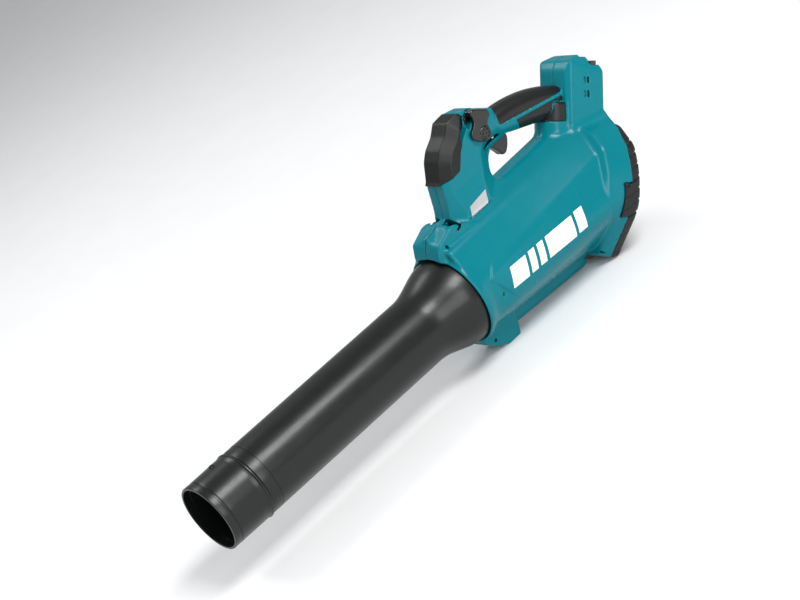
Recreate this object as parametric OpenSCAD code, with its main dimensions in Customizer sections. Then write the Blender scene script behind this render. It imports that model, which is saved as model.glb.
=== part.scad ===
// Cordless axial leaf blower, bare tool without its battery, in millimetres.
// Modules draw in the station frame: Y is the distance behind the nozzle lip, Z the height above
// the nozzle axis and +X the tool's left side. placed() moves that frame so that the origin is
// under the middle of the tool, on the floor, with +Z up and the nozzle pointing along -Y.
// leaned() turns a sub-part back by the lean of the battery column and the intake face.

/* [Overall] */
// Backward lean of the battery column and of the intake face
lean = 30; // [28:1:32]
// Height of the nozzle axis above the floor
axis_h = 87; // [86.5:0.5:88]

/* [Nozzle] */
// Outside radius of the end collar
collar_r = 41.6; // [41:0.2:43]
// Length of the end collar
collar_l = 56.5; // [45:0.5:70]
// Radius of the outlet bore
outlet_r = 37; // [35:0.5:37.5]
// Outside radius of the straight tube
tube_r = 42.2; // [41.6:0.2:43]
// Station of the housing ring that holds the nozzle
ring_y = 400; // [380:5:400]
// Outside radius of the flared end of the nozzle
flare_r = 57.5; // [56.5:0.5:58]
// Wall of the nozzle
nozzle_wall = 2.7; // [2.2:0.1:3]

/* [Housing] */
// Outside radius of the front ring
ring_r = 61.5; // [61:0.5:63]
// Largest half width, at the intake face
tail_hw = 82; // [80:1:84]
// Wall of the housing shells
shell_wall = 3; // [2.5:0.25:3.5]
// Half width of the front column
neck_hw = 20.5; // [19:0.5:22]
// Half width of the spine that joins both columns
spine_hw = 28; // [26:1:30]

/* [Battery column] */
// Front face of the column, measured along the leaned depth axis
column_front = 517; // [515:1:518]
// Rear face of the column
column_rear = 566; // [564:1:568]
// Top of the column, measured along the leaned height axis
column_top = 484; // [478:1:488]
// Half width at the front face
column_front_hw = 26; // [25:0.5:27]
// Half width at the rear face
column_rear_hw = 38; // [36:0.5:40]

/* [Handle] */
// Radius of the rounded edges of the grip section
grip_r = 17; // [16.5:0.25:18]
// Fall of the grip towards the rear
grip_fall = 17.5; // [16:0.5:19]
// Thickness of the soft grip skins
skin = 2.5; // [2:0.25:3]

/* [Fan and motor] */
// Inner radius of the fan duct
duct_r = 53; // [52.5:0.25:53]
// Number of fan blades
blades = 11; // [7:1:13]
// Number of guide vanes
vanes = 8; // [5:1:11]
// Gap between the blade tips and the duct
tip_gap = 1; // [0.8:0.1:1.5]
// Radius of the motor pod
pod_r = 30; // [29:0.5:31]

/* [Hidden] */
$fn = 64;
big = 900;                     // larger than the tool, for half spaces
gap = 0.3;                     // between parts on different bodies
fit = 0.05;                    // running clearance of pins and shafts
// Side cheeks of the battery seat, the rearmost part, end below the chamfered top
top_flat_hw = 20;
chamfer_drop = 16;
chamfer_hw = 34;
seat_hw = 31;
cheek_top = column_top - chamfer_drop * (seat_hw - top_flat_hw) / (chamfer_hw - top_flat_hw);
overall_l = column_rear * cos(lean) + cheek_top * sin(lean);

// Intake face
face_u = 568;                  // joint between housing and intake cover, leaned depth
face_v = 319;                  // middle of the face, leaned height
cover_deep = 15;               // side wall of the cover
cover_crown = 31;              // depth of the cover with its crown
cover_wall = 3;
louvre_pitch = 12.4;
louvre_h = 6.2;
louvre_w = 25.2;
louvre_bay = 28;
louvre_z = 0;
tail_outline = [
    [43, -84], [76, -31], [tail_hw, -12], [tail_hw, 22], [74, 54], [50, 78], [22, 84]
];
tab_half = 21;                 // half height of the cover's side tabs
tab_v = -12;                   // their middle, from the face's middle
tab_deep = 12;

// Nozzle
lip_l = 9;                     // length of the outlet lip
spigot_gap = 0.1;
lip_r = 38.6;
flare_start = 335;
flare_gain = flare_r - tube_r - 0.8;
sleeve_r = 55.5;               // sleeve that turns inside the housing ring
sleeve_l = 24;
flare_steps = 10;
lug_y = 36;
lug_turn = 98;                 // first accessory lug, from +X towards the top
twist_lug_y = 12;              // bayonet lugs of the sleeve, behind the ring
twist_lug_h = 2.5;
seal_y = ring_y + sleeve_l - 4;

// Fan, duct and motor stations
duct_front = 428;
duct_rear = 600;
duct_wall = 2.5;
mouth_r = 62;                  // bell mouth of the duct
mouth_l = 14;
rubber_y = [446, 580];
rubber_w = 8;
rubber_t = 3;
pod_front = 470;
pod_rear = 560;
pod_wall = 2;
cone_front = 440;
fan_front = 564;
fan_rear = 588;
hub_wall = 2.5;
blade_t = 2.2;
blade_pitch = 42;
vane_front = 508;
vane_rear = 552;
vane_t = 2;
shaft_r = 2.5;
shaft_front = 478;
shaft_rear = 594;
bearing_y = [486, 548];
bearing_w = 5;
bearing_r = 8;
bearing_out_in = 6.4;
bearing_in_out = 4.1;
ball_r = 1.1;
ball_n = 8;
core_front = 504;
core_l = 32;
core_r = 27;
core_bore = 14.4;
core_back = 4.5;
teeth = 6;
rotor_r = 14;
magnet_n = 4;

// Handle
grip_origin = [548, 148];
grip_l = 119;
grip_top = 5;                  // rise of the upper edge rounds above the grip axis
grip_low = 0;                  // and of the lower ones
stripe_half = 2.5;             // bare housing stripe between both skins
under_from = 36;               // start of the lower skin along the grip
core_grip_r = grip_r - skin;
pivot_lever = [530, 149.5];
lever_x = 20.8;                // inner face of the lever
lever_t = 4.5;
lever_shaft_r = 4;
pivot_trigger = [547, 134];
trigger_hw = 7.5;
trigger_pin_r = 2;
plunger_at = [571.8, 130.5];   // middle of the plunger's face
plunger_r = 2.5;

// Screws of the housing: [station, height, half width of the shell there]
screw_seats = [
    [411, 70, 24], [419, -70, 21], [456, 112, neck_hw], [505, 160, neck_hw], [500, 65, spine_hw],
    [575, 66, spine_hw], [686, 140, 28]
];
screw_r = 2;
screw_head_r = 3.6;
pilot_r = 1.1;                 // pin holes in the left half, at the first two seats
boss_r = 5;
cover_screw_at = [[69, 40], [-69, 40], [41, -76], [-41, -76]];

teal = [0.02, 0.47, 0.53];
dark = [0.17, 0.18, 0.18];
black = [0.06, 0.06, 0.065];
steel = [0.72, 0.73, 0.75];
copper = [0.72, 0.4, 0.2];
brass = [0.8, 0.65, 0.3];

// ---- frames and helpers ----
module placed() {
    translate([0, -overall_l / 2, axis_h]) children();
}
module leaned() {
    rotate([-lean, 0, 0]) children();
}
// Turns +Z onto +Y, for what is round about the nozzle axis
module along_y(y = 0) {
    translate([0, y, 0]) rotate([-90, 0, 0]) children();
}
// Turns +Z onto +X, for pins and screws
module along_x(x, at) {
    translate([x, at[0], at[1]]) rotate([0, 90, 0]) children();
}
// Extrudes a side view, given as [station, height] points, from x0 to x1
module side_slab(points, x0, x1) {
    translate([x0, 0, 0]) rotate([90, 0, 90]) linear_extrude(x1 - x0) polygon(points);
}
module half_space(side) {
    translate([side > 0 ? 0 : -big, -big / 2, -big]) cube([big, 2 * big, 2 * big]);
}
module tube(r_out, r_in, h) {
    difference() {
        cylinder(r = r_out, h = h);
        translate([0, 0, -1]) cylinder(r = r_in, h = h + 2);
    }
}
// Round wire along a list of points
module wire(points, r) {
    for (i = [0 : len(points) - 2]) {
        run = points[i + 1] - points[i];
        translate(points[i])
            rotate([0, acos(run[2] / norm(run)), atan2(run[1], run[0])])
                cylinder(r = r, h = norm(run), $fn = 16);
    }
    for (i = [1 : len(points) - 2]) translate(points[i]) sphere(r = r * 1.1, $fn = 16);
}
module above_floor() {
    translate([-big / 2, -big / 2, -axis_h]) cube([big, 2 * big, big]);
}

// ---- outlines ----
function mirrored(half) = concat(half, [for (i = [len(half) - 1 : -1 : 0]) [-half[i][0], half[i][1]]]);
function scaled_outline(k, s) = [for (p = mirrored(tail_outline)) [p[0] * k, p[1] * s]];
// Slice of the tail outline, shrunk by d all round
module face_slice(u, h, d) {
    leaned() translate([0, u, face_v]) along_y()
        rotate([180, 0, 0]) mirror([0, 0, 1])
            linear_extrude(h) polygon(scaled_outline(1 - d / tail_hw, 1 - d / 84));
}

// Side view of the front column, from the ring to the start of the grip
column_side = [
    [ring_y, 30], [ring_y, 70], [408, 75], [424, 85], [433, 97], [451, 133], [460, 153],
    [469, 163], [484, 172], [495, 184], [513, 186], [535, 182], [546, 171], [562, 166],
    [560, 124], [540, 123], [532, 117], [525, 101], [526, 90], [534, 80], [540, 30]
];
column_core = [
    [437, 118], [457, 134], [465, 150], [473, 158], [487, 167], [497, 178], [516, 181],
    [516, 120], [470, 100]
];
bumper_side = [
    [446.6, 124], [451, 133], [460, 153], [469, 163], [484, 172], [495, 184], [513, 186],
    [519, 176], [506, 160], [488, 150], [481, 138], [470, 122]
];
spine_side = [[430, 40], [430, 76], [470, 75], [640, 75], [660, 80], [690, 60], [640, 50]];
ridge_side = [[440, 40], [440, 84], [530, 84], [624, 88], [670, 92], [690, 60], [650, 50]];
boss_side = [
    [402, -40], [402, -66], [418, -axis_h], [453, -axis_h], [461, -73], [466, -40]
];
slot_side = [[436, 75], [443, 91], [452, 88], [446, 71]];

// ---- housing ----
module body_solid(d) {
    hull() {
        along_y(ring_y) cylinder(r = ring_r - d, h = 3);
        face_slice(face_u - 3, 3, d);
    }
}
module column_solid(d) {
    leaned() intersection() {
        translate([0, 0, 340]) linear_extrude(column_top - 340 - d) polygon([
            [column_front_hw - d, column_front + d], [column_rear_hw - d, column_rear - d],
            [d - column_rear_hw, column_rear - d], [d - column_front_hw, column_front + d]
        ]);
        translate([0, big, 0]) rotate([90, 0, 0]) linear_extrude(big) polygon([
            [-40, 300], [40, 300], [40, column_top - chamfer_drop - 8 - d],
            [chamfer_hw, column_top - chamfer_drop - d], [top_flat_hw, column_top - d],
            [-top_flat_hw, column_top - d], [-chamfer_hw, column_top - chamfer_drop - d],
            [-40, column_top - chamfer_drop - 8 - d]
        ]);
        side_slab([
            [500, 300], [500, 440], [column_front, 467 - d], [522, 477 - d], [538, column_top],
            [600, column_top], [600, 300]
        ], -50, 50);
    }
}
// Pillar in front of the column that carries the rear end of the grip
pillar_front = 493;
pillar_r = 22;
module pillar(v0, v1, r) {
    leaned() translate([0, pillar_front + pillar_r, v0]) cylinder(r = r, h = v1 - v0);
}
module in_grip() {
    translate([0, grip_origin[0], grip_origin[1]]) rotate([-grip_fall, 0, 0]) children();
}
// Bar of the grip section, of edge radius r, from y0 to y1 along the grip
module grip_bar(r, y0, y1) {
    in_grip() {
        translate([0, 0, grip_top]) along_y(y0) cylinder(r = r, h = y1 - y0);
        translate([0, 0, grip_low]) along_y(y0) cylinder(r = r, h = y1 - y0);
        translate([-r, y0, grip_low]) cube([2 * r, y1 - y0, grip_top - grip_low]);
    }
}
module grip_slice(z0, z1, y0, y1) {
    in_grip() translate([-30, y0, z0]) cube([60, y1 - y0, z1 - z0]);
}
module housing_outer() {
    body_solid(0);
    side_slab(column_side, -neck_hw, neck_hw);
    side_slab([[ring_y, 30], [ring_y, 66], [408, 71], [440, 80], [440, 30]], -24, 24);
    side_slab(spine_side, -spine_hw, spine_hw);
    side_slab(ridge_side, -20, 20);
    side_slab(boss_side, -21, 21);
    column_solid(0);
    pillar(380, 430, pillar_r);
    grip_bar(core_grip_r, 0, grip_l + 6);
    intersection() {
        grip_bar(grip_r, 0, grip_l);
        union() {
            grip_slice(-stripe_half, stripe_half, 0, grip_l);
            grip_slice(-30, stripe_half, 0, under_from);
        }
    }
}
module bosses() {
    for (s = screw_seats) along_x(-40, s) cylinder(r = boss_r, h = 80);
}
// Ribs that hold the duct through its rubber rings, the rear one with a passage for the leads
module duct_ribs() {
    difference() {
        for (y = rubber_y) along_y(y - rubber_w / 2 - 3) difference() {
            cylinder(r = 100, h = rubber_w + 6);
            translate([0, 0, -1]) cylinder(r = duct_r + duct_wall + 1, h = rubber_w + 8);
            translate([0, 0, 3]) cylinder(r = duct_r + duct_wall + rubber_t, h = rubber_w);
        }
        translate([-9, rubber_y[1] - 10, 50]) cube([18, 20, 50]);
    }
}
module housing_cavity() {
    difference() {
        union() {
            intersection() {
                body_solid(shell_wall);
                along_y(ring_y + sleeve_l + 6) cylinder(r = 120, h = 300);
            }
            column_solid(shell_wall);
            side_slab([[452, 40], [452, 100], [470, 128], [488, 150], [500, 168], [530, 172],
                [545, 160], [555, 157], [555, 129], [530, 127], [518, 104], [518, 40]],
                -neck_hw + 3.5, neck_hw - 3.5);
            side_slab([[500, 40], [500, 79], [670, 83], [670, 40]], -16, 16);
            pillar(380, 420, pillar_r - shell_wall);
            grip_bar(core_grip_r - 2.5, 2, grip_l + 8);
        }
        bosses();
        duct_ribs();
        cover_screw_seats(boss_r, face_u - 18, 18);
    }
}
module ring_bore() {
    along_y(ring_y - 1) cylinder(r = flare_r + 0.5, h = 4.5);
    along_y(ring_y) cylinder(r = sleeve_r + gap, h = sleeve_l + 7);
    along_y(ring_y + twist_lug_y - gap) cylinder(r = sleeve_r + twist_lug_h + gap, h = 6 + 2 * gap);
}
// Space swept by the speed lever and its thumb tab
module lever_recess() {
    intersection() {
        along_x(11.5, pivot_lever) tube(33, 19.5, 30);
        side_slab([[500, 166], [500, 200], [570, 200], [570, 155], [540, 160], [530, 164]], 11, 45);
    }
    along_x(lever_x - gap, pivot_lever) cylinder(r = 33, h = 20);
}
module switch_bore() {
    translate([0, plunger_at[0] - 1, plunger_at[1]]) along_y() cylinder(r = plunger_r + fit, h = 18);
}
module trigger_window() {
    side_slab([[537, 100], [537, 128], [540, 142], [578, 142], [578, 100]],
        -trigger_hw - 0.6, trigger_hw + 0.6);
}
module bumper_pocket() {
    difference() {
        side_slab(bumper_side, -neck_hw - 3, neck_hw + 3);
        side_slab(column_core, -neck_hw + 4, neck_hw - 4);
    }
}
module strap_slot() {
    side_slab(slot_side, -60, 60);
}
module column_openings() {
    leaned() {
        translate([-seat_hw, 552, 412]) cube([2 * seat_hw, 60, 120]);
        translate([-20, 541, 471]) cube([42, 14, 40]);
        for (v = [441, 456]) for (x = [-60, 20]) for (k = [0, 4.2])
            translate([x, 546 + k, v - 5]) cube([40, 2.6, 8]);
    }
}
module boot_groove() {
    difference() {
        pillar(404, 421, pillar_r + 10);
        pillar(403, 422, pillar_r - 2);
        leaned() translate([-50, column_front, 380]) cube([100, 60, 60]);
    }
}
module screw_holes() {
    for (s = screw_seats) {
        along_x(-60, s) cylinder(r = screw_head_r + 0.4, h = 69 - s[2]);
        along_x(-s[2], s) cylinder(r = screw_r, h = 2 * s[2] - 5);
    }
    for (i = [0, 1]) along_x(10, screw_seats[i]) cylinder(r = pilot_r, h = 50);
    cover_screw_seats(screw_r, face_u - 14, 20);
}
module tab_notches(grow) {
    for (side = [-1, 1]) leaned()
        translate([side * tail_hw - 18, face_u - tab_deep - grow, face_v + tab_v - tab_half - grow])
            cube([36, tab_deep + grow + 1, 2 * (tab_half + grow)]);
}
module cover_screw_seats(r, u0, h) {
    leaned() for (p = cover_screw_at) translate([p[0], u0, face_v + p[1]]) along_y() cylinder(r = r, h = h);
}
module housing_half(side) {
    color(teal) placed() difference() {
        intersection() {
            housing_outer();
            half_space(side);
            above_floor();
        }
        housing_cavity();
        leaned() translate([-big, face_u, -big]) cube([2 * big, big, 2 * big]);
        ring_bore();
        lever_recess();
        trigger_window();
        bumper_pocket();
        strap_slot();
        column_openings();
        boot_groove();
        screw_holes();
        tab_notches(0.2);
        along_x(0, pivot_lever) cylinder(r = lever_shaft_r + fit, h = 40);
        along_x(-trigger_hw - 4, pivot_trigger) cylinder(r = trigger_pin_r, h = 2 * trigger_hw + 8);
    }
}
module housing_left() {
    housing_half(1);
}
module housing_right() {
    housing_half(-1);
}

// ---- fixed pieces outside the housing ----
module front_bumper() {
    color(dark) placed() difference() {
        side_slab(bumper_side, -neck_hw - 1, neck_hw + 1);
        side_slab(column_core, -neck_hw + 4, neck_hw - 4);
        lever_recess();
    }
}
// Half of the grip's soft cover, between z0 and z1 along the grip section
module grip_skin(z0, z1, y0, y1) {
    color(dark) placed() difference() {
        intersection() {
            grip_bar(grip_r, y0, y1);
            grip_slice(z0, z1, y0, y1);
        }
        grip_bar(core_grip_r, y0 - 1, y1 + 1);
        leaned() translate([-50, column_front, 300]) cube([100, 100, 300]);
        trigger_window();
    }
}
module grip_upper_skin() {
    difference() {
        grip_skin(stripe_half, 40, 14, grip_l);
        placed() {
            lever_recess();
            pillar(379, 430.3, pillar_r + 0.2);
        }
    }
}
module grip_lower_skin() {
    difference() {
        grip_skin(-40, -stripe_half, under_from, grip_l);
        placed() pillar(380, 430, pillar_r);
    }
}
module column_boot() {
    color(dark) placed() difference() {
        pillar(404, 421, pillar_r);
        pillar(403, 422, pillar_r - 2);
        leaned() translate([-50, column_front, 380]) cube([100, 60, 60]);
        grip_bar(grip_r, 0, grip_l + 10);
    }
}
module cover_solid(d) {
    hull() {
        face_slice(face_u, cover_deep - d / 2, d);
        face_slice(face_u + cover_deep, 2, 4 + d);
        face_slice(face_u + cover_crown - 7 - d, 2, 26 + d);
        face_slice(face_u + cover_crown - 2 - d, 2, 52);
    }
}
// Level air slots, kept off the rim and the screw wells
module cover_slots() {
    difference() {
        intersection() {
            for (i = [-6 : 4]) for (k = [-2 : 2])
                translate([k * louvre_bay - louvre_w / 2, 560, louvre_z + i * louvre_pitch - louvre_h / 2])
                    cube([louvre_w, 200, louvre_h]);
            face_slice(face_u + 8, 60, 11);
        }
        cover_screw_seats(boss_r + 1.5, face_u, 60);
    }
}
module intake_cover() {
    color(dark) placed() difference() {
        intersection() {
            union() {
                difference() {
                    cover_solid(0);
                    difference() {
                        cover_solid(cover_wall);
                        cover_screw_seats(boss_r, face_u, 40);
                    }
                }
                intersection() {
                    tab_notches(0);
                    body_solid(0);
                }
            }
            above_floor();
        }
        cover_slots();
        cover_screw_seats(screw_r, face_u - 1, 60);
        cover_screw_seats(screw_head_r + 0.4, face_u + 6, 60);
        intersection() {
            body_solid(shell_wall + 1);
            leaned() translate([-big / 2, face_u - 30, 0]) cube([big, 30, big]);
        }
    }
}
module cover_screws() {
    color(steel) placed() {
        cover_screw_seats(screw_head_r, face_u + 6, 3);
        cover_screw_seats(screw_r - 0.1, face_u - 13, 19);
    }
}
module housing_screws() {
    color(steel) placed() for (s = screw_seats) {
        along_x(6 - s[2], s) difference() {
            cylinder(r = screw_head_r, h = 3);
            translate([0, 0, -1]) cylinder(r = 1.8, h = 2.5, $fn = 6);
        }
        along_x(8.5 - s[2], s) cylinder(r = screw_r - 0.1, h = 2 * s[2] - 14.5);
    }
}

// ---- battery seat and electronics ----
module battery_rails() {
    color(black) placed() leaned() for (side = [-1, 1]) mirror([side > 0 ? 0 : 1, 0, 0]) {
        translate([24, 552, 414]) cube([7, 5, 62]);
        translate([19.5, 557, 414]) cube([11.5, 4, 62]);
    }
}
module terminal_block() {
    color(black) placed() leaned() difference() {
        union() {
            translate([-18.5, 552, 416]) cube([37, 7, 42]);
            translate([-14, 538, 424]) cube([28, 14, 26]);
        }
        for (x = [-12, 12]) translate([x - 1, 556.4, 418]) cube([2, 4, 36]);
    }
}
module terminal_blades() {
    color(brass) placed() leaned() for (x = [-12, 12])
        translate([x - 0.8, 556.4, 424]) cube([1.6, 7, 26]);
}
module controller_case() {
    color([0.6, 0.62, 0.64]) placed() leaned() difference() {
        translate([-21, 521.5, 352]) cube([42, 12, 58]);
        translate([-19, 523, 354]) cube([38, 12, 54]);
    }
}
module controller_board() {
    color([0.05, 0.3, 0.15]) placed() leaned() {
        translate([-18.5, 527, 354.5]) cube([37, 1.6, 53]);
        for (v = [362, 378, 394]) translate([-12, 528.6, v - 5]) cube([24, 3.4, 9]);
    }
}
module switch_body() {
    color(black) placed() difference() {
        in_grip() translate([-7, 36, -9]) cube([14, 26, 16]);
        switch_bore();
    }
}
module battery_leads() {
    color([0.7, 0.1, 0.1]) placed() leaned() for (x = [-8, 8])
        wire([[x, 537, 430], [x, 534, 428], [x, 531, 418], [x, 531, 410.1]], 1.4);
}
module switch_leads() {
    color([0.15, 0.15, 0.15]) placed() for (x = [-4, 4]) wire([
        [x, 607.6, 128.2], [x, 625, 124], [x, 664, 113],
        [x, 668, 105], [x, 662.5, 96]
    ], 1.1);
}
module motor_leads() {
    color([0.85, 0.75, 0.1]) placed() for (x = [-6, 0, 6])
        wire([
            [x, 633, 59], [x, 612, 67], [x, 598, 74.5], [x, 556, 74.5], [x, 532, 68],
            [x, 519, 58.5]
        ], 1.2);
}

// ---- fan duct and guide vanes ----
module fan_duct() {
    color(black) placed() along_y() rotate_extrude($fn = 96) polygon(concat(
        [[duct_r, duct_front], [duct_r + duct_wall, duct_front]],
        [[duct_r + duct_wall, duct_rear - mouth_l]],
        [for (a = [0 : 15 : 90]) [mouth_r + duct_wall - (mouth_r - duct_r) * cos(a),
            duct_rear - mouth_l + mouth_l * sin(a)]],
        [for (a = [90 : -15 : 0]) [mouth_r - (mouth_r - duct_r) * cos(a),
            duct_rear - mouth_l + mouth_l * sin(a)]]
    ));
}
module duct_rubber_rings() {
    color([0.1, 0.1, 0.1]) placed() for (y = rubber_y)
        along_y(y - rubber_w / 2) tube(duct_r + duct_wall + rubber_t, duct_r + duct_wall, rubber_w);
}
module guide_vanes() {
    color(black) placed() {
        along_y(pod_front) tube(pod_r, pod_r - pod_wall, pod_rear - pod_front);
        intersection() {
            along_y(vane_front) tube(duct_r, pod_r, vane_rear - vane_front);
            along_y(vane_front) for (i = [0 : vanes - 1]) rotate(90 + i * 360 / vanes)
                translate([pod_r - 2, -vane_t / 2, -5]) rotate([12, 0, 0])
                    cube([duct_r, vane_t, vane_rear - vane_front + 10]);
        }
    }
}
module pod_tail_cone() {
    color(black) placed() along_y() rotate_extrude() polygon(concat(
        [[pod_r - pod_wall, pod_front], [pod_r, pod_front]],
        [for (t = [0.2 : 0.2 : 0.81]) [pod_r * sqrt(1 - t * t),
            pod_front - 0.9 * (pod_front - cone_front) * t]],
        [[10, cone_front + 1], [0, cone_front], [0, cone_front + 2], [9, cone_front + 3]],
        [for (t = [0.8 : -0.2 : 0.19]) [(pod_r - pod_wall) * sqrt(1 - t * t),
            pod_front - 0.84 * (pod_front - cone_front) * t]]
    ));
}
module motor_end_plates() {
    color([0.6, 0.62, 0.64]) placed() for (y = bearing_y) along_y(y - 4) difference() {
        cylinder(r = pod_r - pod_wall, h = 8);
        translate([0, 0, 4 - bearing_w / 2]) cylinder(r = bearing_r, h = 8);
        translate([0, 0, -1]) cylinder(r = 6, h = 10);
        for (i = [0 : 5]) rotate(30 + i * 60) translate([19, 0, -1]) cylinder(r = 5, h = 10);
    }
}
module stator_core() {
    color(steel) placed() along_y(core_front) {
        tube(core_r, core_r - core_back, core_l);
        for (i = [0 : teeth - 1]) rotate(i * 360 / teeth) {
            translate([core_bore + 1.5, -2.5, 0]) cube([core_r - core_back - core_bore - 1, 5, core_l]);
            intersection() {
                tube(core_bore + 2, core_bore, core_l);
                translate([0, -6, 0]) cube([core_r, 12, core_l]);
            }
        }
    }
}
module stator_coils() {
    color(copper) placed() along_y(core_front) for (i = [0 : teeth - 1]) rotate(i * 360 / teeth)
        difference() {
            translate([core_bore + 2.5, -5, -3]) cube([core_r - core_back - core_bore - 3.2, 10, core_l + 6]);
            translate([core_bore, -2.6, -0.1]) cube([20, 5.2, core_l + 0.2]);
        }
}
module sensor_board() {
    color([0.05, 0.3, 0.15]) placed()
        along_y(core_front + core_l + 3.6) tube(pod_r - pod_wall - 0.5, 10, 1.2);
}
module bearing_outer_rings() {
    color(steel) placed() for (y = bearing_y) along_y(y - bearing_w / 2)
        tube(bearing_r, bearing_out_in, bearing_w);
}
module bearing_balls() {
    color(steel) placed() for (y = bearing_y) along_y(y) for (i = [0 : ball_n - 1])
        rotate(i * 360 / ball_n) translate([(bearing_out_in + bearing_in_out) / 2, 0, 0]) sphere(r = ball_r);
}

// ---- what spins ----
module motor_shaft() {
    color(steel) placed() along_y(shaft_front) cylinder(r = shaft_r, h = shaft_rear - shaft_front);
}
module bearing_inner_rings() {
    color(steel) placed() for (y = bearing_y) along_y(y - bearing_w / 2)
        tube(bearing_in_out, shaft_r, bearing_w);
}
module rotor_core() {
    color(steel) placed() along_y(core_front) difference() {
        tube(rotor_r, shaft_r, core_l);
        for (i = [0 : magnet_n - 1]) rotate(i * 360 / magnet_n)
            translate([9, -6, -1]) cube([2.5, 12, core_l + 2]);
    }
}
module rotor_magnets() {
    color([0.3, 0.3, 0.32]) placed() along_y(core_front + 0.5) for (i = [0 : magnet_n - 1])
        rotate(i * 360 / magnet_n) translate([9, -6, 0]) cube([2.5, 12, core_l - 1]);
}
module fan_impeller() {
    color(black) placed() {
        along_y(fan_front) difference() {
            cylinder(r = pod_r, h = fan_rear - fan_front);
            translate([0, 0, -1]) cylinder(r = pod_r - hub_wall, h = fan_rear - fan_front - 2);
            translate([0, 0, -1]) cylinder(r = shaft_r, h = 50);
        }
        along_y(fan_front) difference() {
            cylinder(r = 7, h = fan_rear - fan_front);
            translate([0, 0, -1]) cylinder(r = shaft_r, h = 50);
        }
        intersection() {
            along_y(fan_front) tube(duct_r - tip_gap, pod_r, fan_rear - fan_front);
            along_y((fan_front + fan_rear) / 2) for (i = [0 : blades - 1]) rotate(i * 360 / blades)
                rotate([blade_pitch, 0, 0]) translate([pod_r - 1.5, -blade_t / 2, -20])
                    cube([duct_r, blade_t, 40]);
        }
    }
}
module fan_nut() {
    color(steel) placed() along_y(fan_rear) difference() {
        cylinder(r = 4.6, h = 4, $fn = 6);
        translate([0, 0, -1]) cylinder(r = shaft_r, h = 6);
    }
}
module fan_spinner() {
    color(black) placed() along_y() rotate_extrude() polygon(concat(
        [[pod_r - 2.5, fan_rear], [pod_r, fan_rear]],
        [for (a = [15 : 15 : 90]) [pod_r * cos(a), fan_rear + 15 * sin(a)]],
        [for (a = [90 : -15 : 15]) [(pod_r - 2.5) * cos(a), fan_rear + 13 * sin(a)]]
    ));
}

// ---- trigger ----
trigger_side = [
    [540, 126], [541, 137], [547, 141], [556, 140], [571, 136], [571.5, 119], [566, 112],
    [560, 103], [555, 103], [551, 111], [546, 119], [540, 122]
];
module trigger() {
    color(dark) placed() difference() {
        side_slab(trigger_side, -trigger_hw, trigger_hw);
        along_x(-20, pivot_trigger) cylinder(r = trigger_pin_r + fit, h = 40);
        side_slab([[542.8, 129], [542.8, 145], [566, 145], [566, 129]], -4.5, 4.5);
    }
}
module trigger_pin() {
    color(steel) placed() along_x(-trigger_hw - 4, pivot_trigger)
        cylinder(r = trigger_pin_r, h = 2 * trigger_hw + 8);
}
module trigger_spring() {
    color(steel) placed() for (i = [-2 : 2]) along_x(1.5 * i, pivot_trigger)
        rotate_extrude() translate([trigger_pin_r + 1, 0]) circle(r = 0.5, $fn = 16);
}
module switch_plunger() {
    color(dark) placed() translate([0, plunger_at[0], plunger_at[1]]) along_y()
        cylinder(r = plunger_r, h = 11);
}

// ---- speed lever ----
module speed_lever() {
    color(black) placed() difference() {
        union() {
            along_x(lever_x, pivot_lever) cylinder(r = 9, h = lever_t);
            side_slab([[522, 150], [513, 158], [515, 163], [523, 161], [530, 157]],
                lever_x, lever_x + lever_t);
            side_slab([[534, 143], [524, 154], [532, 164], [533, 177], [549, 167], [548, 158]],
                lever_x, lever_x + lever_t);
            side_slab([[531.5, 172], [533, 177.5], [549.5, 167.5], [547, 163]], 13.5, lever_x + lever_t);
        }
        along_x(0, pivot_lever) cylinder(r = lever_shaft_r - 0.5, h = 60);
    }
}
module lever_shaft() {
    color(black) placed() {
        along_x(-12, pivot_lever) cylinder(r = lever_shaft_r, h = lever_x + 12);
        along_x(lever_x, pivot_lever) cylinder(r = lever_shaft_r - 0.5, h = lever_t);
    }
}
module lever_cap() {
    color([0.22, 0.22, 0.22]) placed() along_x(lever_x + lever_t, pivot_lever) difference() {
        cylinder(r = 6.5, h = 2);
        for (a = [0, 90]) rotate(a) translate([-4.5, -0.8, 1]) cube([9, 1.6, 2]);
    }
}
module lever_clip() {
    color(steel) placed() along_x(-11, pivot_lever) tube(6.5, lever_shaft_r, 1);
}
module speed_cam() {
    color([0.85, 0.85, 0.82]) placed() difference() {
        union() {
            along_x(-3, pivot_lever) cylinder(r = 8, h = 6);
            side_slab([[530, 141.7], [540, 146], [540, 150], [530, 157]], -3, 3);
        }
        along_x(-10, pivot_lever) cylinder(r = lever_shaft_r, h = 20);
    }
}

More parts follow.
